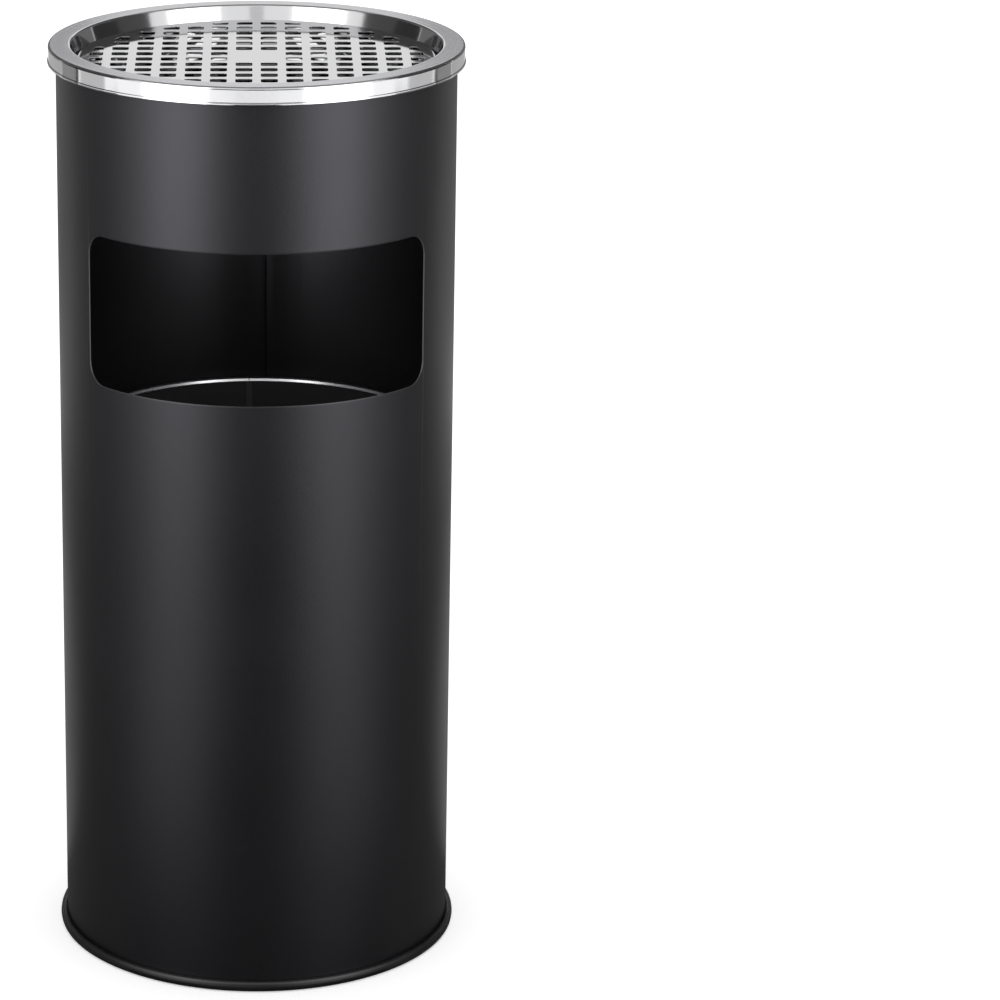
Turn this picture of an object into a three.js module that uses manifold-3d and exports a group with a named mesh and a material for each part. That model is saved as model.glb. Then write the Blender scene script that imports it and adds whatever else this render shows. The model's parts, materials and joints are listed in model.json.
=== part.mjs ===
// An ashtray bin: a round sheet-steel shell with a drop-in window, an ashtray head with a grille on top
// of it, and a lift-out bucket with a bail handle inside. Millimetres, +Z up, the origin on the floor at
// the middle of the base, the window facing -Y.
import * as THREE from "three";
import { mergeVertices } from "three/addons/utils/BufferGeometryUtils.js";
import Module from "manifold-3d";

const wasm = await Module();
wasm.setup();

// Whole bin
const HEIGHT = 586; // floor to the top of the lid
const SHELL_RADIUS = 125; // outside of the shell
const SHEET = 0.8; // thickness of every pressed or rolled sheet
const GAP = 0.3; // clearance between pieces that touch
const SEGMENTS = 64; // facets round every large circle

// Shell and its window
const SHELL_BORE = SHELL_RADIUS - SHEET;
const SHELL_BOTTOM = 2.8;
const SHELL_TOP = HEIGHT - SHEET - GAP;
const WINDOW_BOTTOM = 387;
const WINDOW_TOP = 482.5;
const WINDOW_HALF_ANGLE = THREE.MathUtils.degToRad(55.5);
const WINDOW_CORNER = 14;
const LAP_WIDTH = 12; // the second layer of sheet along the shell's seam
const LAP_OFFSET = 0; // sideways place of the lap's middle

// Floor pan and base ring
const PAN_TOP = 22;
const PAN_RADIUS = SHELL_BORE - GAP;
const PAN_EDGE_BOTTOM = 8;
const RING_RADIUS = 129.4;
const RING_HEIGHT = 7.5;
const RING_BORE = 121.6;

// Lid: flange, outer band, recess wall and the seat that carries the bowl
const LID_RADIUS = 129.2;
const LID_BEAD_RADIUS = 130.2;
const LID_BAND_HEIGHT = 11.2;
const LID_OPENING = 116; // inner edge of the flange
const SEAT_OUTER = 111.8;
const SEAT_INNER = 105.5;
const SEAT_DEPTH = 11.3; // top of the lid down to the top of the seat

// Bowl and grille, stacked on the seat
const BOWL_FLANGE = 111.2;
const BOWL_MOUTH = 104.6;
const BOWL_FLOOR = 92;
const BOWL_DEPTH = 24.7;
const GRILLE_RADIUS = 111.2;
const GRILLE_THICKNESS = 0.8;
const HOLE_PITCH = 15.5;
const HOLE_COUNT = 14; // holes in a row
const HOLE_WIDTH = 10.2; // left to right
const HOLE_LENGTH = 9.7; // front to back
const HOLE_CORNER = 1.2; // cut off each corner
const HOLE_FIELD = 104.3; // radius of the round field that the holes fill

// Bucket and bail
const BUCKET_RADIUS = 118.4;
const BUCKET_BOTTOM = PAN_TOP + GAP;
const BUCKET_RIM = 334;
const RIM_BEAD = 1.5; // radius of the rolled rim
const SEAM_WIDTH = 4.6;
const SEAM_OFFSET = -5;
const CHIME_RADIUS = 119.4;
const CHIME_HEIGHT = 5;
const BUCKET_FLOOR_TOP = BUCKET_BOTTOM + 5;
const PIVOT_HEIGHT = BUCKET_RIM - 10;
const BAIL_RADIUS = 112.6;
const WIRE_RADIUS = 1.5;
const WIRE_HOLE = 2.1;
const BALL_RADIUS = 2.3;
const BALL_PLACE = 120.8; // middle of a ball, from the axis

const powderCoat = new THREE.MeshStandardMaterial({ color: 0x17181a, roughness: 0.62, metalness: 0.2 });
const moulding = new THREE.MeshStandardMaterial({ color: 0x0d0d0e, roughness: 0.5, metalness: 0 });
const polished = new THREE.MeshStandardMaterial({ color: 0xd9dadc, roughness: 0.12, metalness: 1 });
const brushed = new THREE.MeshStandardMaterial({ color: 0xb9bcc0, roughness: 0.35, metalness: 1 });
const galvanised = new THREE.MeshStandardMaterial({ color: 0x6d7073, roughness: 0.5, metalness: 0.9 });

// A three.js geometry as a solid that can be joined and cut.
function solid(geometry) {
  const bare = geometry.clone();
  bare.deleteAttribute("normal");
  bare.deleteAttribute("uv");
  const merged = mergeVertices(bare, 1e-3);
  return new wasm.Manifold(
    new wasm.Mesh({
      numProp: 3,
      vertProperties: new Float32Array(merged.attributes.position.array),
      triVerts: new Uint32Array(merged.index.array),
    }),
  );
}

// A solid as a three.js geometry.
function geometryOf(body) {
  const mesh = body.getMesh();
  const geometry = new THREE.BufferGeometry();
  geometry.setAttribute("position", new THREE.BufferAttribute(mesh.vertProperties, 3));
  geometry.setIndex(new THREE.BufferAttribute(mesh.triVerts, 1));
  const faceted = geometry.toNonIndexed();
  faceted.computeVertexNormals();
  return faceted;
}

// A profile of [radius, height] points turned round the Z axis. The points run anticlockwise in a
// drawing with the radius to the right and the height up.
function turned(points, segments = SEGMENTS) {
  const profile = points.map(([radius, height]) => new THREE.Vector2(radius, height));
  if (points[0][0] > 0) profile.push(profile[0].clone());
  return new THREE.LatheGeometry(profile, segments).rotateX(Math.PI / 2);
}

// Points of an arc in a profile, from one angle to another, in degrees, both ends included.
function arc(centreRadius, centreHeight, radius, from, to, steps) {
  return Array.from({ length: steps + 1 }, (_, i) => {
    const angle = THREE.MathUtils.degToRad(from + ((to - from) * i) / steps);
    return [centreRadius + radius * Math.cos(angle), centreHeight + radius * Math.sin(angle)];
  });
}

// An upright prism with a slice of a circle as its base, centred on -Y.
function wedge(halfAngle, bottom, top, radius) {
  const outline = new THREE.Shape();
  outline.moveTo(0, 0);
  outline.lineTo(-radius * Math.sin(halfAngle), -radius * Math.cos(halfAngle));
  outline.absarc(0, 0, radius, -Math.PI / 2 - halfAngle, -Math.PI / 2 + halfAngle, false);
  outline.closePath();
  const options = { depth: top - bottom, bevelEnabled: false, curveSegments: SEGMENTS / 4 };
  return solid(new THREE.ExtrudeGeometry(outline, options).translate(0, 0, bottom));
}

// A cylinder that lies along the radius at an angle from -Y, at a height.
function radialCylinder(radius, angle, height, from, to) {
  const bar = new THREE.CylinderGeometry(radius, radius, to - from, 24);
  bar.translate(0, -(from + to) / 2, 0);
  return solid(bar.rotateZ(angle).translate(0, 0, height));
}

// What the window takes out of the shell: a sector with its four corners rounded.
function windowCutter() {
  const reach = SHELL_RADIUS + 20;
  const cornerAngle = WINDOW_HALF_ANGLE - WINDOW_CORNER / SHELL_RADIUS;
  const heights = [WINDOW_BOTTOM + WINDOW_CORNER, WINDOW_TOP - WINDOW_CORNER];
  let cutter = wedge(WINDOW_HALF_ANGLE, heights[0], heights[1], reach);
  cutter = cutter.add(wedge(cornerAngle, WINDOW_BOTTOM, WINDOW_TOP, reach));
  for (const height of heights) {
    for (const side of [-1, 1]) {
      const corner = radialCylinder(WINDOW_CORNER, side * cornerAngle, height, SHELL_RADIUS - 15, reach);
      cutter = cutter.add(corner);
    }
  }
  return cutter;
}

// A strip of sheet that stands inside a tube's wall at the back.
function seamStrip(tubeBore, width, offset, bottom, top) {
  const strip = new THREE.BoxGeometry(width, SHEET + 0.6, top - bottom);
  return solid(strip.translate(offset, tubeBore - SHEET / 2 + 0.1, (bottom + top) / 2));
}

function shell() {
  const tube = turned([
    [SHELL_BORE, SHELL_BOTTOM],
    [SHELL_RADIUS, SHELL_BOTTOM],
    [SHELL_RADIUS, SHELL_TOP],
    [SHELL_BORE, SHELL_TOP],
  ]);
  const lap = seamStrip(SHELL_BORE, LAP_WIDTH, LAP_OFFSET, PAN_TOP + 1, WINDOW_TOP + 70);
  return geometryOf(solid(tube).add(lap).subtract(windowCutter()));
}

function floorPan() {
  return turned([
    [0, PAN_TOP - SHEET],
    [PAN_RADIUS - SHEET, PAN_TOP - SHEET],
    [PAN_RADIUS - SHEET, PAN_EDGE_BOTTOM],
    [PAN_RADIUS, PAN_EDGE_BOTTOM],
    [PAN_RADIUS, PAN_TOP - SHEET],
    [PAN_RADIUS - SHEET, PAN_TOP],
    [0, PAN_TOP],
  ]);
}

function baseRing() {
  const grooveOuter = SHELL_RADIUS + GAP;
  const grooveInner = SHELL_BORE - GAP;
  const grooveFloor = SHELL_BOTTOM - GAP;
  const bulge = RING_HEIGHT / 2;
  const bulgeCentre = RING_RADIUS - bulge;
  return turned([
    [RING_BORE, 0],
    ...arc(bulgeCentre, bulge, bulge, -90, 68, 6),
    [grooveOuter, RING_HEIGHT - 0.6],
    [grooveOuter, grooveFloor],
    [grooveInner, grooveFloor],
    [grooveInner, RING_HEIGHT],
    [RING_BORE, RING_HEIGHT],
  ]);
}

function lid() {
  const flangeUnder = HEIGHT - SHEET;
  const bandBottom = HEIGHT - LID_BAND_HEIGHT;
  const seatTop = HEIGHT - SEAT_DEPTH;
  const beadTop = bandBottom + 2 * (LID_BEAD_RADIUS - LID_RADIUS);
  return turned([
    [SEAT_INNER, seatTop - SHEET],
    [SEAT_OUTER + SHEET, seatTop - SHEET],
    [LID_OPENING + SHEET, flangeUnder],
    [LID_RADIUS - SHEET, flangeUnder],
    [LID_RADIUS - SHEET, bandBottom],
    [LID_BEAD_RADIUS, bandBottom + 0.4],
    [LID_BEAD_RADIUS, beadTop - 0.6],
    [LID_RADIUS, beadTop],
    [LID_RADIUS, HEIGHT - 1],
    [LID_RADIUS - 1, HEIGHT],
    [LID_OPENING, HEIGHT],
    [SEAT_OUTER + 0.2, seatTop],
    [SEAT_INNER, seatTop],
  ]);
}

function ashBowl() {
  const flangeTop = HEIGHT - SEAT_DEPTH + GAP + SHEET;
  const floorTop = flangeTop - BOWL_DEPTH;
  return turned([
    [0, floorTop - SHEET],
    [BOWL_FLOOR - 6, floorTop - SHEET],
    [BOWL_FLOOR, floorTop + 1.2],
    [BOWL_MOUTH - SHEET, flangeTop - SHEET],
    [BOWL_FLANGE, flangeTop - SHEET],
    [BOWL_FLANGE, flangeTop],
    [BOWL_MOUTH - SHEET, flangeTop],
    [BOWL_FLOOR - SHEET, floorTop + 2],
    [BOWL_FLOOR - 6.2, floorTop],
    [0, floorTop],
  ]);
}

// One rounded square hole as an outline with its middle at x, y.
function holeOutline(x, y) {
  const halfWidth = HOLE_WIDTH / 2;
  const halfLength = HOLE_LENGTH / 2;
  const outline = new THREE.Shape();
  outline.moveTo(x + halfWidth, y - halfLength + HOLE_CORNER);
  outline.lineTo(x + halfWidth, y + halfLength - HOLE_CORNER);
  outline.lineTo(x + halfWidth - HOLE_CORNER, y + halfLength);
  outline.lineTo(x - halfWidth + HOLE_CORNER, y + halfLength);
  outline.lineTo(x - halfWidth, y + halfLength - HOLE_CORNER);
  outline.lineTo(x - halfWidth, y - halfLength + HOLE_CORNER);
  outline.lineTo(x - halfWidth + HOLE_CORNER, y - halfLength);
  outline.lineTo(x + halfWidth - HOLE_CORNER, y - halfLength);
  outline.closePath();
  return outline;
}

// The middles of the grille's holes: a square grid without its middle four, kept where a hole would
// reach at least 3 mm into the round field.
function holePlaces() {
  const places = [];
  const middle = (HOLE_COUNT - 1) / 2;
  for (let column = 0; column < HOLE_COUNT; column += 1) {
    for (let row = 0; row < HOLE_COUNT; row += 1) {
      const across = Math.abs(column - middle);
      const along = Math.abs(row - middle);
      const inMiddle = across < 1 && along < 1;
      const nearest = Math.hypot(
        across * HOLE_PITCH - HOLE_WIDTH / 2,
        along * HOLE_PITCH - HOLE_LENGTH / 2,
      );
      if (!inMiddle && nearest < HOLE_FIELD - 4) {
        places.push([(column - middle) * HOLE_PITCH, (row - middle) * HOLE_PITCH]);
      }
    }
  }
  return places;
}

function grille() {
  const bottom = HEIGHT - SEAT_DEPTH + SHEET + 2 * GAP;
  const plate = turned([
    [0, bottom],
    [GRILLE_RADIUS, bottom],
    [GRILLE_RADIUS, bottom + GRILLE_THICKNESS],
    [0, bottom + GRILLE_THICKNESS],
  ]);
  const outlines = holePlaces().map(([x, y]) => holeOutline(x, y));
  const options = { depth: GRILLE_THICKNESS + 4, bevelEnabled: false };
  const holes = new THREE.ExtrudeGeometry(outlines, options).translate(0, 0, bottom - 2);
  const field = turned([
    [0, bottom - 3],
    [HOLE_FIELD, bottom - 3],
    [HOLE_FIELD, bottom + GRILLE_THICKNESS + 3],
    [0, bottom + GRILLE_THICKNESS + 3],
  ]);
  return geometryOf(solid(plate).subtract(solid(holes).intersect(solid(field))));
}

function bucketWall() {
  const bore = BUCKET_RADIUS - SHEET;
  const foot = BUCKET_BOTTOM + CHIME_HEIGHT + GAP;
  const beadCentre = BUCKET_RADIUS;
  const tube = turned([
    [bore, foot],
    [BUCKET_RADIUS, foot],
    [BUCKET_RADIUS, BUCKET_RIM - 2 * RIM_BEAD],
    ...arc(beadCentre, BUCKET_RIM - RIM_BEAD, RIM_BEAD, -60, 150, 5),
    [bore, BUCKET_RIM - 2 * RIM_BEAD],
  ]);
  const seam = seamStrip(bore, SEAM_WIDTH, SEAM_OFFSET, foot + 1, BUCKET_RIM - 2.5);
  let wall = solid(tube).add(seam);
  for (const angle of [-Math.PI / 2, Math.PI / 2]) {
    wall = wall.subtract(radialCylinder(WIRE_HOLE, angle, PIVOT_HEIGHT, 100, 130));
  }
  return geometryOf(wall);
}

function bucketFloor() {
  const foot = BUCKET_BOTTOM + CHIME_HEIGHT;
  return turned([
    [0, BUCKET_FLOOR_TOP - SHEET],
    [BUCKET_RADIUS - 2.4, BUCKET_FLOOR_TOP - SHEET],
    [BUCKET_RADIUS - 2.4, BUCKET_BOTTOM],
    [CHIME_RADIUS - 0.5, BUCKET_BOTTOM],
    [CHIME_RADIUS, BUCKET_BOTTOM + 0.8],
    [CHIME_RADIUS, foot],
    [BUCKET_RADIUS - SHEET - 0.4, foot],
    [0, BUCKET_FLOOR_TOP],
  ]);
}

// The half circle of wire that hangs in the bucket from its two pivots.
class HangingArc extends THREE.Curve {
  getPoint(t, target = new THREE.Vector3()) {
    const angle = Math.PI * t;
    return target.set(-BAIL_RADIUS * Math.cos(angle), 0, PIVOT_HEIGHT - BAIL_RADIUS * Math.sin(angle));
  }
}

function bail() {
  const section = new THREE.Shape();
  section.absarc(0, 0, WIRE_RADIUS, 0, 2 * Math.PI, false);
  const options = { steps: 36, curveSegments: 5, extrudePath: new HangingArc() };
  let wire = solid(new THREE.ExtrudeGeometry(section, options));
  for (const side of [-1, 1]) {
    const elbow = new THREE.SphereGeometry(WIRE_RADIUS, 10, 7);
    wire = wire.add(solid(elbow.translate(side * BAIL_RADIUS, 0, PIVOT_HEIGHT)));
    const length = BALL_PLACE - BAIL_RADIUS;
    const pin = new THREE.CylinderGeometry(WIRE_RADIUS, WIRE_RADIUS, length, 10).rotateZ(Math.PI / 2);
    wire = wire.add(solid(pin.translate(side * (BAIL_RADIUS + length / 2), 0, PIVOT_HEIGHT)));
  }
  return geometryOf(wire);
}

// A ball with a blind hole for the wire's end. side is -1 for the left one.
function bailBall(side) {
  const hole = WIRE_RADIUS + GAP;
  const mouth = Math.sqrt(BALL_RADIUS ** 2 - hole ** 2);
  const mouthAngle = -THREE.MathUtils.radToDeg(Math.atan2(mouth, hole));
  const ball = turned([[0, GAP], [hole, GAP], ...arc(0, 0, BALL_RADIUS, mouthAngle, 90, 7)], 16);
  ball.rotateY((side * Math.PI) / 2);
  return ball.translate(side * BALL_PLACE, 0, PIVOT_HEIGHT);
}

function piece(name, geometry, material) {
  const mesh = new THREE.Mesh(geometry, material);
  mesh.name = name;
  return mesh;
}

function assembly(name, ...children) {
  const group = new THREE.Group();
  group.name = name;
  group.add(...children);
  return group;
}

export default assembly(
  "ashtray_bin",
  assembly(
    "body",
    piece("shell", shell(), powderCoat),
    piece("floor_pan", floorPan(), galvanised),
    piece("base_ring", baseRing(), moulding),
  ),
  assembly(
    "head",
    piece("lid", lid(), polished),
    piece("ash_bowl", ashBowl(), polished),
    piece("grille", grille(), polished),
  ),
  assembly(
    "bucket",
    piece("bucket_wall", bucketWall(), brushed),
    piece("bucket_floor", bucketFloor(), brushed),
    piece("bail", bail(), polished),
    piece("bail_ball_left", bailBall(-1), polished),
    piece("bail_ball_right", bailBall(1), polished),
  ),
);
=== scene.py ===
"""The looks of a steel ashtray bin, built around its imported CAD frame.

Metres, +Z up, the window facing -Y. Azimuths are degrees from -Y towards +X.
"""

import json
import math

import bmesh
import bpy
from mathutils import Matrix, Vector


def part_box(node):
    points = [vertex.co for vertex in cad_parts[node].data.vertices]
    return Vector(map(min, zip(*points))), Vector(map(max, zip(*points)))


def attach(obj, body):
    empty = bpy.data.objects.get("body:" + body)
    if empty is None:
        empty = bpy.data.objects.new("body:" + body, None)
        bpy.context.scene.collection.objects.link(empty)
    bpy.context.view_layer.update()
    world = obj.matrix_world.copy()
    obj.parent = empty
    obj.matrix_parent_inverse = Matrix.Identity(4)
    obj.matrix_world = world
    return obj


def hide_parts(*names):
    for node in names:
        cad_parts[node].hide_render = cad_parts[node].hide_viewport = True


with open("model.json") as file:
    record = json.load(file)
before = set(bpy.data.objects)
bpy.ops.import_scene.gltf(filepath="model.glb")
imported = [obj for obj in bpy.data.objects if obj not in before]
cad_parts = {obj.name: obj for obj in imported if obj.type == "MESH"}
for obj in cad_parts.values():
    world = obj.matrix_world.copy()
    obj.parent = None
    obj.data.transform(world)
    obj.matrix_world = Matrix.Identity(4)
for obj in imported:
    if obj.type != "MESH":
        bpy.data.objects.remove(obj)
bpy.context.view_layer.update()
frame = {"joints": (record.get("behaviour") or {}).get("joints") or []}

MM = 0.001
SHEET = 0.8 * MM  # thickness of every pressed or rolled sheet
SEGMENTS = 240  # facets round every large circle
SHARP = math.radians(38)  # edges that bend more than this stay crisp

# The shell's window, as angles round the bin from -Y and heights above the floor
WINDOW_HALF_ANGLE = math.radians(55.5)
WINDOW_BOTTOM = 387 * MM
WINDOW_TOP = 482.5 * MM
WINDOW_CORNER = 14 * MM

# The shell's inner radius and the closing line of its lap, to the right of the back
SHELL_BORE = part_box("shell")[1].x - SHEET
LAP_LINE = 6.05 * MM

# The ashtray head
HEAD_OPENING = 116 * MM  # radius of the hole inside the flat top flange
SEAT_OUTER = 111.8 * MM  # the seat that the ash bowl and the grille lie on
SEAT_INNER = 105.5 * MM
BAND_HEIGHT = 11.2 * MM

# What the lights for the black coat and the lights for the bare steel fall on
BLACK_PIECES = bpy.data.collections.new("black_pieces")
STEEL_PIECES = bpy.data.collections.new("steel_pieces")

# The grille's holes
HOLE_PITCH = 15.5 * MM
HOLE_COUNT = 14
HOLE_WIDTH = 10.2 * MM
HOLE_LENGTH = 9.7 * MM
HOLE_CORNER = 1.8 * MM
HOLE_FIELD = 104.3 * MM  # radius of the round field that clips them

# The bucket, its seam and its bail
SEAM_WIDTH = 4.6 * MM
SEAM_BOTTOM = 29 * MM
SEAM_TOP = 331 * MM
SEAM_OFFSET = -5 * MM  # along the wall from the middle of the back, below zero towards -X
WIRE_RADIUS = 1.5 * MM
WIRE_HOLE = 2.1 * MM  # radius of the wall's holes for the wire
BAIL_RADIUS = 112.6 * MM
RIM_BEAD = 1.5 * MM  # radius of the bucket's rolled rim
BUCKET_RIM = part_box("bucket_wall")[1].z
BUCKET_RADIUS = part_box("bucket_wall")[1].x - RIM_BEAD


# ---------------------------------------------------------------- camera, floor and light


def camera():
    """Looks down at the bin from the front, with the bin in the left part of the picture."""
    distance, height, pitch = 2.6, 1.1377, 0.3163
    focal_length_in_sensors, shift = 4.2569, 0.2434
    data = bpy.data.cameras.new("camera")
    data.lens = focal_length_in_sensors * data.sensor_width
    data.shift_x = shift
    data.clip_end = 100
    made = bpy.data.objects.new("camera", data)
    made.location = (0, -distance, height)
    made.rotation_euler = (math.pi / 2 - pitch, 0, 0)
    bpy.context.scene.collection.objects.link(made)
    bpy.context.scene.camera = made


def panel(name, size, middle, turn, radiance, lit):
    """A panel of light that shows only in the gloss of the pieces in one collection."""
    data = bpy.data.lights.new(name, "AREA")
    data.shape = "RECTANGLE"
    data.size, data.size_y = size
    data.energy = radiance * math.pi * size[0] * size[1]
    made = bpy.data.objects.new(name, data)
    made.location = middle
    made.rotation_euler = turn
    made.visible_camera = False
    made.visible_diffuse = False
    made.light_linking.receiver_collection = lit
    bpy.context.scene.collection.objects.link(made)


def around(azimuth, distance, height):
    """A point at an azimuth and a distance from the bin's axis."""
    angle = math.radians(azimuth)
    return (distance * math.sin(angle), -distance * math.cos(angle), height)


def softbox(name, azimuth, distance, low, high, width, radiance, lit):
    """An upright panel of light that faces the bin's axis."""
    middle = around(azimuth, distance, (low + high) / 2)
    turn = (math.pi / 2, 0, math.radians(azimuth))
    panel(name, (width, high - low), middle, turn, radiance, lit)


def floor_light(name, azimuth, distance, length, width, radiance, lit):
    """A level panel just above the floor, facing up, like a lit patch that runs away from the bin."""
    middle = around(azimuth, distance, 2 * MM)
    panel(name, (width, length), middle, (math.pi, 0, math.radians(azimuth)), radiance, lit)


def card(name, shade, azimuth, distance, low, high, width):
    """An upright grey card that faces the bin's axis."""
    middle = around(azimuth, distance, (low + high) / 2)
    turn = (math.pi / 2, 0, math.radians(azimuth))
    bpy.ops.mesh.primitive_plane_add(size=1, location=middle, rotation=turn)
    made = bpy.context.object
    made.scale = (width, high - low, 1)
    reflection_only(made, name, shade)


def disc(name, shade, radius, middle):
    """A level grey disc over or under the bin."""
    bpy.ops.mesh.primitive_circle_add(vertices=96, radius=radius, fill_type="NGON", location=middle)
    reflection_only(bpy.context.object, name, shade)


def reflection_only(made, name, shade):
    """Makes a mesh a grey card that shows only as a darker reflection in the bin's surfaces."""
    made.name = name
    made.data.materials.append(plain(name, (shade, shade, shade), 0.95, specular=0))
    made.visible_camera = False
    made.visible_diffuse = False
    made.visible_shadow = False


def white_world():
    """Even white light from all round."""
    world = bpy.data.worlds.new("studio")
    world.use_nodes = True
    background = world.node_tree.nodes["Background"]
    background.inputs["Color"].default_value = (1, 1, 1, 1)
    background.inputs["Strength"].default_value = 1.0
    bpy.context.scene.world = world
    bpy.context.scene.view_settings.view_transform = "Standard"


def side_lights_and_cards():
    """The two tall highlights, and the greys that the rest of each side mirrors.

    A softbox has an azimuth, a distance, its lowest and highest point, a width and a radiance. A floor light
    has a length instead of the heights. A card has a shade before its azimuth and no radiance.
    """
    for side, name in ((-1, "left"), (1, "right")):
        softbox("softbox_" + name, 43 * side, 1.7, 0.0, 2.2, 1.0, 3.7, BLACK_PIECES)
        softbox("softbox_steel_" + name, 44 * side, 1.7, 0.0, 2.2, 1.1, 2.0, STEEL_PIECES)
        floor_light("floor_light_" + name, 46 * side, 1.0, 1.3, 0.35, 0.5, BLACK_PIECES)
        card("card_strip_" + name, 0.6, 98 * side, 1.35, 0.25, 0.4, 0.5)
        card("card_side_" + name, 0.03, 104 * side, 1.38, 0.4, 0.95, 1.3)
        card("card_low_" + name, 0.28, 121 * side, 1.35, 0, 0.4, 0.43)
        card("card_end_" + name, 0.45, 147 * side, 1.35, 0.25, 0.4, 0.8)
        card("card_heel_" + name, 0.35, 152 * side, 1.35, 0, 0.25, 0.9)
        card("card_back_" + name, 0.15, 152 * side, 1.36, 0.4, 0.95, 1.1)
        card("card_foot_" + name, 0.03, 104 * side, 1.38, 0, 0.25, 1.3)
        card("card_high_" + name, 0.07, 120 * side, 1.35, 0.95, 2.1, 2.6)
        card("card_line_" + name, 0.02, 111 * side, 1.25, 0, 0.8, 0.06)


def middle_cards():
    """The greys that the bin's front, its flat tops and its foot mirror."""
    card("card_below_camera", 0.15, 0, 2.9, 0, 1.25, 2.58)
    card("card_camera", 0.62, 0, 3.0, 0.8, 2.6, 0.5)
    disc("card_above", 0.22, 1.9, (0, 0.6, 2.7))
    bpy.ops.mesh.primitive_plane_add(size=1, location=(0, -1.25, 1.0 * MM))
    bpy.context.object.scale = (0.9, 2.3, 1)
    reflection_only(bpy.context.object, "card_front", 0.02)
    disc("card_around", 0.17, 1.3, (0, -0.15, 0.5 * MM))
    disc("card_behind", 0.6, 0.52, (0, 0.58, 0.8 * MM))


def paper_floor():
    """A white floor that is bright enough to leave only a soft shadow at the bin's foot."""
    bpy.ops.mesh.primitive_plane_add(size=30, location=(0, 0, -0.2 * MM))
    floor = bpy.context.object
    floor.name = "floor"
    paper = plain("floor_paper", (0.93, 0.93, 0.93), 0.9, specular=0)
    shader_input(paper, "Emission Color").default_value = (1, 1, 1, 1)
    shader_input(paper, "Emission Strength").default_value = 0.35
    floor.data.materials.append(paper)


# ---------------------------------------------------------------- materials


def plain(name, color, roughness, metallic=0.0, specular=0.5, anisotropic=0.0):
    """A material of one colour and one gloss."""
    made = bpy.data.materials.new(name)
    made.use_nodes = True
    shader = made.node_tree.nodes["Principled BSDF"]
    shader.inputs["Base Color"].default_value = (*color, 1)
    shader.inputs["Roughness"].default_value = roughness
    shader.inputs["Metallic"].default_value = metallic
    shader.inputs["Specular IOR Level"].default_value = specular
    shader.inputs["Anisotropic"].default_value = anisotropic
    return made


def node(material, kind, **settings):
    """A new shader node in a material."""
    made = material.node_tree.nodes.new("ShaderNode" + kind)
    for key, value in settings.items():
        setattr(made, key, value)
    return made


def link(material, source, target):
    """Joins one node's output to another node's input."""
    material.node_tree.links.new(source, target)


def noise(material, vector, scale, detail=2.0):
    """A noise texture's value over a vector socket."""
    made = node(material, "TexNoise")
    made.inputs["Scale"].default_value = scale
    made.inputs["Detail"].default_value = detail
    link(material, vector, made.inputs["Vector"])
    return made.outputs["Fac"]


def ranged(material, value, low, high, low_in=0.3, high_in=0.7):
    """A value mapped from one range to another."""
    made = node(material, "MapRange")
    made.inputs["From Min"].default_value = low_in
    made.inputs["From Max"].default_value = high_in
    made.inputs["To Min"].default_value = low
    made.inputs["To Max"].default_value = high
    link(material, value, made.inputs["Value"])
    return made.outputs["Result"]


def bump(material, value, distance, strength=1.0, under=None):
    """A normal bumped by a value, on top of another normal if there is one."""
    made = node(material, "Bump")
    made.inputs["Distance"].default_value = distance
    made.inputs["Strength"].default_value = strength
    link(material, value, made.inputs["Height"])
    if under is not None:
        link(material, under, made.inputs["Normal"])
    return made.outputs["Normal"]


def shader_input(material, name):
    """A socket of the material's own shader."""
    return material.node_tree.nodes["Principled BSDF"].inputs[name]


def place(material):
    """The point's place in its piece, the vector that every texture here starts from."""
    return node(material, "TexCoord").outputs["Object"]


def round_the_axis(material, along, out, up):
    """Coordinates that run round the bin's axis, outwards and up, each stretched by its count per metre."""
    parts = node(material, "SeparateXYZ")
    link(material, place(material), parts.inputs[0])
    angle = node(material, "Math", operation="ARCTAN2")
    link(material, parts.outputs["X"], angle.inputs[0])
    backward = node(material, "Math", operation="MULTIPLY")
    backward.inputs[1].default_value = -1
    link(material, parts.outputs["Y"], backward.inputs[0])
    link(material, backward.outputs[0], angle.inputs[1])
    flat = node(material, "CombineXYZ")
    link(material, parts.outputs["X"], flat.inputs["X"])
    link(material, parts.outputs["Y"], flat.inputs["Y"])
    radius = node(material, "VectorMath", operation="LENGTH")
    link(material, flat.outputs[0], radius.inputs[0])
    joined = node(material, "CombineXYZ")
    sources = (angle.outputs[0], radius.outputs["Value"], parts.outputs["Z"])
    typical_radius = 0.12
    for source, count, axis in zip(sources, (along * typical_radius, out, up), "XYZ"):
        stretched = node(material, "Math", operation="MULTIPLY")
        stretched.inputs[1].default_value = count
        link(material, source, stretched.inputs[0])
        link(material, stretched.outputs[0], joined.inputs[axis])
    return joined.outputs[0]


def powder_coat(name, specular):
    """Matt black powder coat with its fine orange-peel grain."""
    made = plain(name, (0.0026, 0.0026, 0.0030), 0.40, specular=specular)
    shader_input(made, "Specular Tint").default_value = (0.93, 0.92, 1.0, 1)
    where = place(made)
    grain = noise(made, where, 1500, 2)
    drift = noise(made, where, 9, 2)
    link(made, ranged(made, drift, 0.38, 0.42), shader_input(made, "Roughness"))
    link(made, bump(made, grain, 0.06 * MM, 1.0), shader_input(made, "Normal"))
    return made


def coat_edge_painted_highlight():
    """The powder coat on the window's cut edge, lightened to grey as a painted highlight of the lit edge."""
    made = plain("coat_edge_painted_highlight", (0.07, 0.07, 0.073), 0.36, specular=0.4)
    link(made, ranged(made, noise(made, place(made), 60), 0.3, 0.45), shader_input(made, "Roughness"))
    return made


def painted_seam_shadow():
    """A painted shadow: near-black, unlit colour at the bottom of the closing line of the shell's lap."""
    return plain("painted_seam_shadow", (0.0004, 0.0004, 0.0004), 0.8, specular=0)


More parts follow.
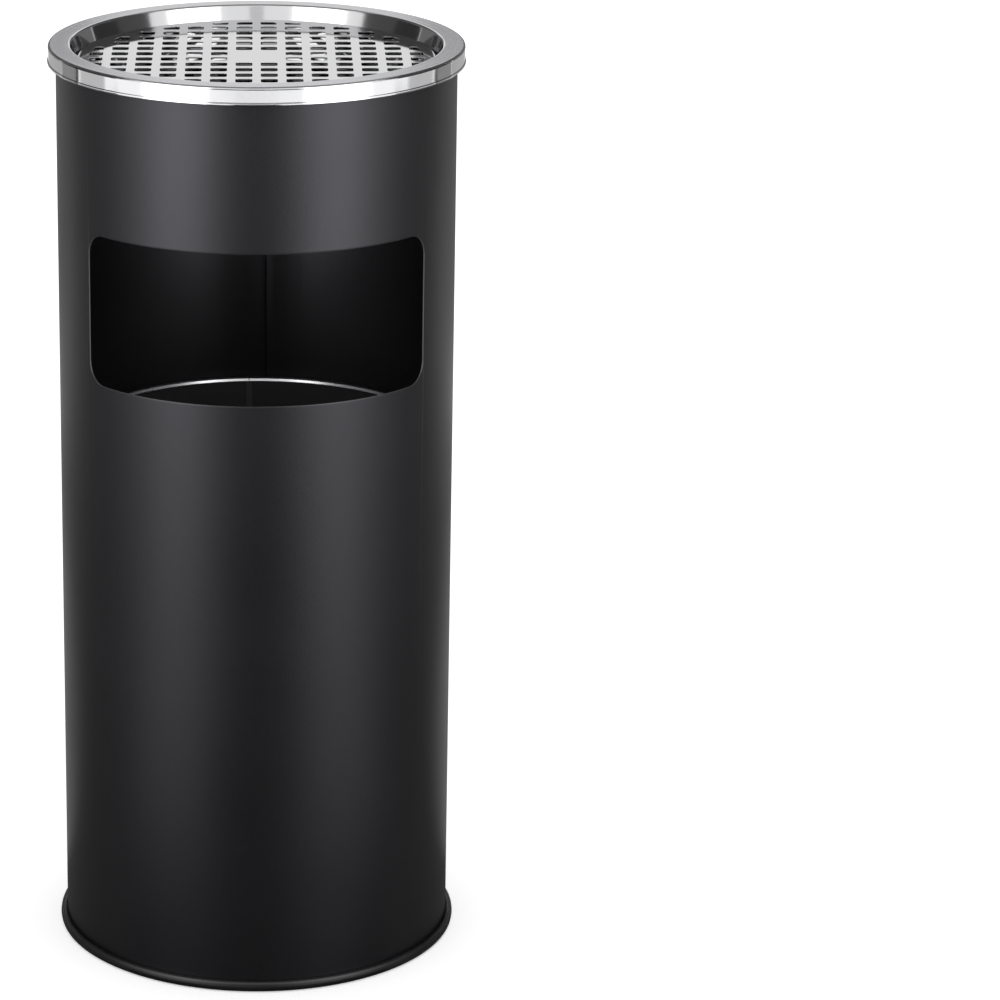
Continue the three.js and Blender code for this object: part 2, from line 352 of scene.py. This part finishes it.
def black_moulding():
    """The slightly shiny black plastic of the base ring."""
    made = plain("black_moulding", (0.004, 0.004, 0.0043), 0.45, specular=0.45)
    where = place(made)
    link(made, ranged(made, noise(made, where, 40), 0.41, 0.49), shader_input(made, "Roughness"))
    link(made, bump(made, noise(made, where, 1400, 2), 0.03 * MM, 0.5), shader_input(made, "Normal"))
    return made


def black_lacquer():
    """The dark grey lacquer inside the bucket."""
    made = plain("black_lacquer", (0.058, 0.059, 0.060), 0.5, specular=0.4)
    where = place(made)
    link(made, ranged(made, noise(made, where, 25), 0.45, 0.56), shader_input(made, "Roughness"))
    link(made, bump(made, noise(made, where, 1100, 2), 0.03 * MM, 0.5), shader_input(made, "Normal"))
    return made


def run_round(material):
    """Turns a metal's stretched highlights so that they follow a grain round the axis."""
    tangent = node(material, "Tangent", direction_type="RADIAL", axis="Z")
    link(material, tangent.outputs[0], shader_input(material, "Tangent"))


def polished_steel(name, shade, roughness):
    """Bright steel with faint polishing lines round the axis."""
    made = plain(name, (shade, shade, shade * 1.015), roughness, metallic=1, anisotropic=0.25)
    lines = noise(made, round_the_axis(made, 14, 2500, 2500), 1, 2)
    drift = noise(made, place(made), 14, 2)
    link(made, ranged(made, drift, roughness * 0.75, roughness * 1.35), shader_input(made, "Roughness"))
    link(made, bump(made, lines, 0.004 * MM, 0.35), shader_input(made, "Normal"))
    run_round(made)
    return made


def brushed_steel(name, color, roughness, depth, anisotropic):
    """Steel with a fine grain that runs round the axis."""
    made = plain(name, color, roughness, metallic=1, anisotropic=anisotropic)
    lines = noise(made, round_the_axis(made, 30, 3200, 3200), 1, 3)
    coarse = noise(made, round_the_axis(made, 9, 700, 700), 1, 2)
    link(made, ranged(made, coarse, roughness * 0.85, roughness * 1.15), shader_input(made, "Roughness"))
    fine = bump(made, lines, depth, 0.7)
    link(made, bump(made, coarse, depth, 0.3, under=fine), shader_input(made, "Normal"))
    run_round(made)
    return made


def zinc_steel():
    """Zinc-plated sheet with its dull crystal pattern."""
    made = plain("zinc_steel", (0.45, 0.46, 0.47), 0.42, metallic=1)
    where = place(made)
    spangle = node(made, "TexVoronoi")
    spangle.inputs["Scale"].default_value = 70
    link(made, where, spangle.inputs["Vector"])
    link(made, ranged(made, spangle.outputs["Distance"], 0.34, 0.5, 0, 0.9), shader_input(made, "Roughness"))
    link(made, bump(made, noise(made, where, 900), 0.02 * MM, 0.5), shader_input(made, "Normal"))
    return made


# ---------------------------------------------------------------- mesh helpers


def rounded(corners, steps=6):
    """A closed outline from its corners, each (radius, height) or (radius, height, fillet)."""
    outline = []
    count = len(corners)
    for i, corner in enumerate(corners):
        here = Vector(corner[:2])
        fillet = corner[2] if len(corner) > 2 else 0
        if not fillet:
            outline.append(here)
            continue
        back = (Vector(corners[i - 1][:2]) - here).normalized()
        on = (Vector(corners[(i + 1) % count][:2]) - here).normalized()
        half = back.angle(on) / 2
        reach = fillet / math.tan(half)
        centre = here + (back + on).normalized() * (fillet / math.sin(half))
        start = here + back * reach - centre
        turn = start.angle_signed(here + on * reach - centre)
        for step in range(steps + 1):
            angle = -turn * step / steps
            cos, sin = math.cos(angle), math.sin(angle)
            outline.append(centre + Vector((start.x * cos - start.y * sin, start.x * sin + start.y * cos)))
    return outline


def braced(outline, reach=0.2 * MM):
    """An outline with a point close to each end of its long straight stretches, so that they shade flat."""
    points = []
    for here, there in zip(outline, outline[1:] + outline[:1]):
        here, there = Vector(here), Vector(there)
        points.append(here)
        along = there - here
        if along.length > 6 * reach:
            points += [here + along.normalized() * reach, there - along.normalized() * reach]
    return points


def mesh_piece(name, vertices, faces):
    """A new smooth-shaded object, crisp where it bends sharply."""
    mesh = bpy.data.meshes.new(name)
    mesh.from_pydata([tuple(v) for v in vertices], [], faces)
    made = bpy.data.objects.new(name, mesh)
    bpy.context.scene.collection.objects.link(made)
    tidy(made)
    return made


def tidy(piece):
    """Welds a piece's doubled points, turns its faces outwards and sets its shading."""
    built = bmesh.new()
    built.from_mesh(piece.data)
    bmesh.ops.remove_doubles(built, verts=built.verts, dist=1e-6)
    bmesh.ops.dissolve_degenerate(built, edges=built.edges, dist=1e-7)
    bmesh.ops.recalc_face_normals(built, faces=built.faces)
    built.to_mesh(piece.data)
    built.free()
    piece.data.shade_smooth()
    piece.data.set_sharp_from_angle(angle=SHARP)


def lathe(name, outline, segments=SEGMENTS):
    """A closed outline of (radius, height) points turned round the Z axis."""
    outline = braced(outline)
    vertices = []
    for i in range(segments):
        angle = 2 * math.pi * i / segments
        vertices += [(r * math.sin(angle), -r * math.cos(angle), z) for r, z in outline]
    count = len(outline)
    faces = []
    for i in range(segments):
        here, there = i * count, (i + 1) % segments * count
        for j in range(count):
            k = (j + 1) % count
            if max(outline[j][0], outline[k][0]) > 1e-6:
                faces.append((here + j, there + j, there + k, here + k))
    return mesh_piece(name, vertices, faces)


def upright(name, section, bottom, top):
    """A closed section of (radius, angle) points drawn up from one height to another."""
    vertices = [(r * math.sin(a), -r * math.cos(a), z) for z in (bottom, top) for r, a in section]
    count = len(section)
    faces = [(i, (i + 1) % count, count + (i + 1) % count, count + i) for i in range(count)]
    faces += [tuple(range(count)), tuple(range(2 * count - 1, count - 1, -1))]
    return mesh_piece(name, vertices, faces)


def open_edges(faces):
    """The edges that only one face has, each as that face runs along it."""
    edges = set()
    for face in faces:
        for a, b in zip(face, face[1:] + face[:1]):
            if (b, a) in edges:
                edges.remove((b, a))
            else:
                edges.add((a, b))
    return sorted(edges)


def piece_from_curve(curve, height=0.0):
    """A drawn curve turned into a mesh piece with the curve's name, raised to a height."""
    name = curve.name
    drawn = bpy.data.objects.new(name + "_drawing", curve)
    bpy.context.scene.collection.objects.link(drawn)
    drawn.location.z = height
    bpy.context.view_layer.update()
    mesh = bpy.data.meshes.new_from_object(drawn.evaluated_get(bpy.context.evaluated_depsgraph_get()))
    mesh.transform(drawn.matrix_world)
    mesh.materials.clear()
    bpy.data.objects.remove(drawn)
    piece = bpy.data.objects.new(name, mesh)
    bpy.context.scene.collection.objects.link(piece)
    tidy(piece)
    return piece


def apply_modifiers(piece):
    """Puts what a piece's modifiers make into its mesh."""
    graph = bpy.context.evaluated_depsgraph_get()
    mesh = bpy.data.meshes.new_from_object(piece.evaluated_get(graph))
    piece.modifiers.clear()
    piece.data = mesh


def cut(piece, cutters):
    """Takes each cutter out of a piece."""
    for cutter in cutters:
        modifier = piece.modifiers.new("cut", "BOOLEAN")
        modifier.operation = "DIFFERENCE"
        modifier.solver = "EXACT"
        modifier.object = cutter
    apply_modifiers(piece)
    for cutter in cutters:
        bpy.data.objects.remove(cutter)
    tidy(piece)


def bevel(piece, width, segments=2, angle=60):
    """Rounds the edges that bend more than an angle in degrees."""
    modifier = piece.modifiers.new("bevel", "BEVEL")
    modifier.width = width
    modifier.segments = segments
    modifier.limit_method = "ANGLE"
    modifier.angle_limit = math.radians(angle)
    modifier.use_clamp_overlap = True
    apply_modifiers(piece)
    tidy(piece)


def finish_piece(piece, body, nodes, slot, *materials, pick=None):
    """Gives a piece its materials, a body to ride on and the CAD nodes it stands for."""
    for material in materials:
        piece.data.materials.append(material)
    if pick is not None:
        for face in piece.data.polygons:
            face.material_index = pick(face.center, face.normal)
    black = slot in ("powder_coat", "black_moulding")
    (BLACK_PIECES if black else STEEL_PIECES).objects.link(piece)
    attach(piece, body)
    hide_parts(*nodes)
    return piece


# ---------------------------------------------------------------- shell


def window_columns():
    """Angles across the window, each with the heights of its lower and upper edge there."""
    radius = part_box("shell")[1].x
    straight = WINDOW_HALF_ANGLE - WINDOW_CORNER / radius
    low, high = WINDOW_BOTTOM + WINDOW_CORNER, WINDOW_TOP - WINDOW_CORNER
    columns = []
    corner_steps, straight_steps = 10, 72
    for i in range(corner_steps):
        turn = math.pi / 2 * i / corner_steps
        angle = straight + WINDOW_CORNER / radius * math.cos(turn)
        drop = WINDOW_CORNER * math.sin(turn)
        columns.append((-angle, low - drop, high + drop))
    for i in range(straight_steps + 1):
        columns.append((straight * (2 * i / straight_steps - 1), WINDOW_BOTTOM, WINDOW_TOP))
    columns += [(-angle, lower, upper) for angle, lower, upper in reversed(columns[:corner_steps])]
    return columns


def shell_piece():
    """The rolled sheet, with its window and the closing line of its lap seam."""
    lowest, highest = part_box("shell")
    radius = highest.x
    brace = 1 * MM  # rows this close to an edge keep the long faces' shading true
    window = window_columns()
    line, line_depth = 0.7 * MM / radius, 0.3 * MM  # the closing line's half width as an angle, and its depth
    near = WINDOW_HALF_ANGLE + brace / radius
    steps = 270  # about as far apart as the brace columns, so that no column shows in the shading
    side = [near + (math.pi - 2 * line - near) * i / steps for i in range(steps + 1)]
    back = side + [math.pi - line, math.pi, math.pi + line] + [2 * math.pi - a for a in reversed(side)]
    _, low_end, high_end = window[0]
    columns = [(a, low_end, high_end, line_depth if a == math.pi else 0.0) for a in back]
    columns += [(angle, lower, upper, 0.0) for angle, lower, upper in window]
    vertices = []
    for inner in (0, 1):
        for angle, lower, upper, sunk in columns:
            r = radius - sunk - inner * SHEET
            levels = (lowest.z, lowest.z + brace, lower - brace, lower)
            levels += (upper, upper + brace, highest.z - brace, highest.z)
            vertices += [(r * math.sin(angle), -r * math.cos(angle), level) for level in levels]
    count, rows, window_row = len(columns), len(levels), 3
    faces = []
    for i in range(count):
        j = (i + 1) % count
        in_window = i >= len(back) and j > len(back)
        for row in range(rows - 1):
            if not (in_window and row == window_row):
                here, there = rows * i + row, rows * j + row
                faces.append((here, there, there + 1, here + 1))
    inside = rows * count
    rim = [(b, a, a + inside, b + inside) for a, b in open_edges(faces)]
    faces += [tuple(inside + v for v in reversed(face)) for face in faces] + rim
    piece = mesh_piece("shell_sheet", vertices, faces)
    bevel(piece, 0.28 * MM)
    return piece


def shell_face(centre, normal):
    """1 on the cut edge of the window, lightened as a painted highlight, 2 on the sheet's inside, 0 on its
    outside.
    """
    outward = (normal.x * centre.x + normal.y * centre.y) / centre.xy.length
    if abs(outward) < 0.96 and centre.y < 0 and WINDOW_BOTTOM - MM < centre.z < WINDOW_TOP + MM:
        return 1
    return 2 if outward < -0.9 else 0


def shell_lap():
    """The second layer of sheet at the back, blended into the wall but for the closing line."""
    bore, crest = SHELL_BORE, 0.75 * MM
    half_line = 0.45
    left, right = LAP_LINE / MM - half_line, LAP_LINE / MM + half_line
    # Millimetres along the wall from the back, and how much of the crest the layer has there
    section = [(-34, 0.0), (-28, 0.06), (-22, 0.3), (-16, 0.72), (-10, 0.97), (-6, 1.0), (left - 0.15, 1.0)]
    section += [(left, 0.85), (left, 0.0), (right, 0.0), (right, 0.75)]
    section += [(right + 0.15, 0.85), (12, 0.8), (17, 0.5), (23, 0.18), (30, 0.0)]
    outline = [(bore - crest * rise, math.pi - along * MM / bore) for along, rise in section]
    outline += [(bore + 0.2 * MM, math.pi - along * MM / bore) for along, rise in reversed(section)]
    return upright("shell_lap", outline, 23 * MM, 552 * MM)


def lap_painted_shadow(centre, normal):
    """1 at the bottom of the lap's closing line, where its shadow is painted, 0 on the rest of the layer."""
    at_bottom = centre.xy.length > SHELL_BORE - 0.1 * MM
    return 1 if at_bottom and abs(centre.x - LAP_LINE) < 0.4 * MM else 0


def floor_pan():
    """The disc that closes the shell, with its edge turned down."""
    lowest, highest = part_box("floor_pan")
    radius, top, bottom = highest.x, highest.z, lowest.z
    corners = [
        (0, top - SHEET),
        (radius - SHEET, top - SHEET, 0.6 * MM),
        (radius - SHEET, bottom),
        (radius, bottom),
        (radius, top, 1.4 * MM),
        (0, top),
    ]
    return lathe("floor_pan_disc", rounded(corners))


def base_ring():
    """The moulding under the shell's edge: a rounded channel, open at the top."""
    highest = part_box("base_ring")[1]
    radius, top = highest.x, highest.z
    shell_low, shell_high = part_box("shell")
    gap, lip = 0.3 * MM, 2.3 * MM
    outer = shell_high.x + gap
    inner = shell_high.x - SHEET - gap
    floor = shell_low.z - gap
    corners = [
        (inner - lip, 0, 0.4 * MM),
        (radius - 0.5 * MM, 0, 2.2 * MM),
        (radius, top * 0.45, 3 * MM),
        (radius - 0.7 * MM, top, 2.3 * MM),
        (outer, top - 0.9 * MM, 0.4 * MM),
        (outer, floor),
        (inner, floor),
        (inner, top, 0.3 * MM),
        (inner - lip, top, 0.3 * MM),
    ]
    return lathe("base_ring_moulding", rounded(corners))


# ---------------------------------------------------------------- ashtray head


def lid():
    """The pressed head: flat flange, outer band with a rolled edge, recess wall and seat."""
    lowest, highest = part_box("lid")
    top, bead = highest.z, highest.x
    band = bead - 0.5 * MM
    bottom = top - BAND_HEIGHT
    seat = lowest.z + SHEET
    corners = [
        (SEAT_INNER, seat - SHEET),
        (SEAT_OUTER + SHEET, seat - SHEET, 1.6 * MM),
        (HEAD_OPENING + SHEET, top - SHEET, 0.8 * MM),
        (band - SHEET, top - SHEET, 0.9 * MM),
        (band - SHEET, bottom),
        (bead, bottom, 0.45 * MM),
        (bead, bottom + 1.5 * MM, 0.4 * MM),
        (band, bottom + 1.75 * MM, 0.1 * MM),
        (band, top, 1.7 * MM),
        (HEAD_OPENING, top, 1.7 * MM),
        (SEAT_OUTER + 0.2 * MM, seat, 0.8 * MM),
        (SEAT_INNER, seat),
    ]
    return lathe("lid_pressing", rounded(corners, 8))


def flange_face(centre, normal):
    """1 on the lid's flat top, which is brushed, and 0 on the rest of it, which is polished."""
    return 1 if normal.z > 0.93 and centre.xy.length > HEAD_OPENING - 0.5 * MM else 0


def ash_bowl():
    """The dish under the grille, hung by its flange."""
    lowest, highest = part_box("ash_bowl")
    flange, top, floor = highest.x, highest.z, lowest.z + SHEET
    mouth, foot = flange - 6.6 * MM, flange - 19.2 * MM
    corners = [
        (0, floor - SHEET),
        (foot, floor - SHEET, 7.8 * MM),
        (mouth - SHEET, top - SHEET, 1.5 * MM),
        (flange, top - SHEET),
        (flange, top),
        (mouth - SHEET * 0.6, top, 2.3 * MM),
        (foot - SHEET, floor, 7 * MM),
        (0, floor),
    ]
    return lathe("ash_bowl_dish", rounded(corners, 8))


def hole_depth(x, y, middle_x, middle_y):
    """How far a point lies outside a grille hole, below zero inside it."""
    across = abs(x - middle_x) - HOLE_WIDTH / 2 + HOLE_CORNER
    along = abs(y - middle_y) - HOLE_LENGTH / 2 + HOLE_CORNER
    box = math.hypot(max(across, 0), max(along, 0)) + min(max(across, along), 0) - HOLE_CORNER
    return max(box, math.hypot(x, y) - HOLE_FIELD)


def hole_outline(middle_x, middle_y, directions=36):
    """Points round one hole, found outwards from a point inside it."""
    reach = math.hypot(middle_x, middle_y)
    inward = max(0.0, reach - HOLE_FIELD + 2.4 * MM) / reach
    start_x, start_y = middle_x * (1 - inward), middle_y * (1 - inward)
    points = []
    for i in range(directions):
        angle = 2 * math.pi * (i + 0.5) / directions
        near, far, halvings = 0.0, 10 * MM, 18
        for _ in range(halvings):
            middle = (near + far) / 2
            x, y = start_x + middle * math.cos(angle), start_y + middle * math.sin(angle)
            if hole_depth(x, y, middle_x, middle_y) < 0:
                near = middle
            else:
                far = middle
        points.append((start_x + near * math.cos(angle), start_y + near * math.sin(angle)))
    return points


def hole_places():
    """The middles of the grille's holes: a square grid, clipped to a round field, without its middle four."""
    middle = (HOLE_COUNT - 1) / 2
    places = []
    for column in range(HOLE_COUNT):
        for row in range(HOLE_COUNT):
            across, along = abs(column - middle), abs(row - middle)
            nearest = math.hypot(across * HOLE_PITCH - HOLE_WIDTH / 2, along * HOLE_PITCH - HOLE_LENGTH / 2)
            if max(across, along) > 1 and nearest < HOLE_FIELD - 4 * MM:
                places.append(((column - middle) * HOLE_PITCH, (row - middle) * HOLE_PITCH))
    return places


def outline_spline(curve, points):
    """Adds a closed outline to a flat curve."""
    spline = curve.splines.new("POLY")
    spline.points.add(len(points) - 1)
    for point, (x, y) in zip(spline.points, points):
        point.co = (x, y, 0, 1)
    spline.use_cyclic_u = True


def grille():
    """A flat plate with its holes, every edge eased."""
    lowest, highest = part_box("grille")
    ease = 0.1 * MM
    curve = bpy.data.curves.new("grille_plate", "CURVE")
    curve.dimensions = "2D"
    curve.fill_mode = "BOTH"
    curve.extrude = (highest.z - lowest.z) / 2 - ease
    curve.bevel_depth = ease
    curve.bevel_resolution = 2
    curve.offset = -ease
    turns = [2 * math.pi * i / SEGMENTS for i in range(SEGMENTS)]
    outline_spline(curve, [(highest.x * math.cos(a), highest.x * math.sin(a)) for a in turns])
    for place_x, place_y in hole_places():
        outline_spline(curve, hole_outline(place_x, place_y))
    piece = piece_from_curve(curve, (highest.z + lowest.z) / 2)
    for face in piece.data.polygons:
        face.use_smooth = abs(face.normal.z) < 0.999
    return piece


# ---------------------------------------------------------------- bucket


def pivot_height():
    """The height of the bail's pivots at rest."""
    return next(j for j in frame["joints"] if j["name"] == "bail_swing")["pos_m"][2]


def hole_cutter(middle):
    """A cylinder along X that cuts one of the bail's holes."""
    turn = (0, math.pi / 2, 0)
    bpy.ops.mesh.primitive_cylinder_add(
        vertices=32, radius=WIRE_HOLE, depth=12 * MM, location=middle, rotation=turn
    )
    return bpy.context.object


def seam_cutter():
    """A thin block that notches the rolled rim where the wall's seam meets it."""
    bpy.ops.mesh.primitive_cube_add(size=1, location=(SEAM_OFFSET, BUCKET_RADIUS, BUCKET_RIM))
    bpy.context.object.scale = (0.5 * MM, 8 * MM, 4.4 * MM)
    return bpy.context.object


def bucket_wall():
    """The tube with its outward-rolled rim, the bail's holes and the notch of its seam."""
    rim, outer = BUCKET_RIM, BUCKET_RADIUS
    inner = outer - SHEET
    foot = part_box("bucket_wall")[0].z
    bead, flare = 1.25 * MM, math.radians(18)
    shoulder = 1.4 * MM
    centre = inner + bead * math.cos(flare) + shoulder * math.tan(flare)
    outline = [(inner, foot), (outer, foot), (outer, rim - 2 * bead - 1.2 * MM)]
    steps = 16
    for i in range(steps + 1):
        angle = math.radians(-82 + (262 - math.degrees(flare)) * i / steps)
        outline.append((centre + bead * math.cos(angle), rim - bead + bead * math.sin(angle)))
    outline.append((inner, outline[-1][1] - shoulder))
    piece = lathe("bucket_tube", outline)
    holes = [hole_cutter((side * outer, 0, pivot_height())) for side in (-1, 1)]
    cut(piece, holes + [seam_cutter()])
    return piece


def bucket_seam():
    """The lock seam, a bar of folded sheet that stands inside the wall at the back and follows its curve."""
    bore, steps = BUCKET_RADIUS - SHEET, 8
    turns = [math.pi - (SEAM_OFFSET + SEAM_WIDTH * (i / steps - 0.5)) / bore for i in range(steps + 1)]
    section = [(bore + 0.1 * MM, turn) for turn in turns]
    section += [(bore - SHEET, turn) for turn in reversed(turns)]
    piece = upright("bucket_seam", section, SEAM_BOTTOM, SEAM_TOP)
    bevel(piece, 0.2 * MM)
    return piece


def bucket_face(centre, normal):
    """1 on the lacquered inside of the bucket, 2 on its rolled rim, lightened as a painted highlight, 0 on
    its bare steel outside.
    """
    if centre.z > BUCKET_RIM - 2.7 * MM:
        return 2
    return 1 if normal.x * centre.x + normal.y * centre.y < 0 else 0


def bucket_floor():
    """The disc folded round the wall's foot."""
    lowest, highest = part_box("bucket_floor")
    chime, low, high = highest.x, lowest.z, highest.z
    skirt = BUCKET_RADIUS - 2.4 * MM
    corners = [
        (0, high - SHEET),
        (skirt, high - SHEET, 1 * MM),
        (skirt, low, 0.7 * MM),
        (chime, low, 0.8 * MM),
        (chime, high, 0.4 * MM),
        (0, high),
    ]
    return lathe("bucket_base", rounded(corners))


def floor_face(centre, normal):
    """1 on the lacquered inside of the bucket's floor, 0 on the bare steel under it and round its edge."""
    return 1 if normal.z > 0.5 and centre.xy.length < BUCKET_RADIUS - 1 * MM else 0


def bail():
    """The wire handle: a half circle, two tight elbows and the ends that go out through the wall."""
    height = pivot_height()
    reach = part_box("bail")[1].x
    elbow, elbow_steps, arch_steps = 2.6 * MM, 8, 96
    points = [(-reach, 0.0)]
    for i in range(elbow_steps + 1):
        angle = math.pi / 2 * (1 - i / elbow_steps)
        points.append((-BAIL_RADIUS - elbow + elbow * math.cos(angle), -elbow + elbow * math.sin(angle)))
    left_end = points[:]
    for i in range(1, arch_steps):
        angle = math.pi * i / arch_steps
        points.append((-BAIL_RADIUS * math.cos(angle), -elbow - (BAIL_RADIUS - elbow) * math.sin(angle)))
    points += [(-x, z) for x, z in reversed(left_end)]
    curve = bpy.data.curves.new("bail_wire", "CURVE")
    curve.dimensions = "3D"
    curve.bevel_depth = WIRE_RADIUS
    curve.bevel_resolution = 5
    curve.use_fill_caps = True
    spline = curve.splines.new("POLY")
    spline.points.add(len(points) - 1)
    for point, (x, z) in zip(spline.points, points):
        point.co = (x, 0, height + z, 1)
    return piece_from_curve(curve)


def bail_ball(name, side):
    """A round head with a short collar towards the wall."""
    low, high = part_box("bail_ball_" + name)
    tip = high.x if side > 0 else -low.x
    radius = (high.z - low.z) / 2
    centre = tip - radius
    bore = WIRE_RADIUS + 0.12 * MM
    wire_end, collar = 0.4 * MM, -1.45 * MM
    outline = [(bore, wire_end), (bore, collar), (bore + 0.35 * MM, collar)]
    steps = 14
    for i in range(steps + 1):
        angle = math.radians(-30 + 118 * i / steps)
        outline.append((radius * math.cos(angle), radius * math.sin(angle)))
    outline += [(0, radius), (0, wire_end)]
    piece = lathe("bail_head_" + name, outline, segments=40)
    for vertex in piece.data.vertices:
        x, y, z = vertex.co
        vertex.co = (side * (centre + z), y, pivot_height() + x)
    tidy(piece)
    return piece


# ---------------------------------------------------------------- the bin


def build():
    """Every piece with its looks, its body and the CAD nodes that it replaces."""
    coat, inner_coat = powder_coat("powder_coat", 0.5), powder_coat("inner_coat", 0.9)
    moulding, lacquer = black_moulding(), black_lacquer()
    mirror, zinc = polished_steel("polished_steel", 0.7, 0.09), zinc_steel()
    plate = polished_steel("grille_steel", 0.56, 0.06)
    flange = brushed_steel("flange_steel", (0.465, 0.465, 0.485), 0.25, 0.002 * MM, 0.5)
    # The bowl's steel is darkened to a 0.3 shade: painted shade under the grille, so that its holes read dark
    dish = polished_steel("bowl_steel_painted_shade", 0.3, 0.05)
    # The rim's steel is far lighter than the tube's: a painted highlight where the rolled bead catches the
    # light
    rolled = polished_steel("rim_steel_painted_highlight", 0.92, 0.24)
    tube = brushed_steel("bucket_steel", (0.40, 0.42, 0.435), 0.36, 0.01 * MM, 0.7)

    shell = shell_piece()
    finish_piece(shell, "shell", ["shell"], "powder_coat", coat, coat_edge_painted_highlight(), inner_coat, pick=shell_face)
    finish_piece(shell_lap(), "shell", [], "powder_coat", inner_coat, painted_seam_shadow(), pick=lap_painted_shadow)
    finish_piece(floor_pan(), "shell", ["floor_pan"], "zinc_steel", zinc)
    finish_piece(base_ring(), "shell", ["base_ring"], "black_moulding", moulding)

    finish_piece(lid(), "lid", ["lid"], "polished_steel", mirror, flange, pick=flange_face)
    finish_piece(ash_bowl(), "bowl", ["ash_bowl"], "polished_steel", dish)
    finish_piece(grille(), "grille", ["grille"], "polished_steel", plate)

    bucket = bucket_wall()
    finish_piece(bucket, "bucket", ["bucket_wall"], "brushed_steel", tube, lacquer, rolled, pick=bucket_face)
    finish_piece(bucket_seam(), "bucket", [], "brushed_steel", lacquer)
    finish_piece(bucket_floor(), "bucket", ["bucket_floor"], "brushed_steel", tube, lacquer, pick=floor_face)
    finish_piece(bail(), "bail", ["bail"], "polished_steel", mirror)
    for name, side in (("left", -1), ("right", 1)):
        finish_piece(bail_ball(name, side), "bail", ["bail_ball_" + name], "polished_steel", mirror)


camera()
white_world()
side_lights_and_cards()
middle_cards()
paper_floor()
build()
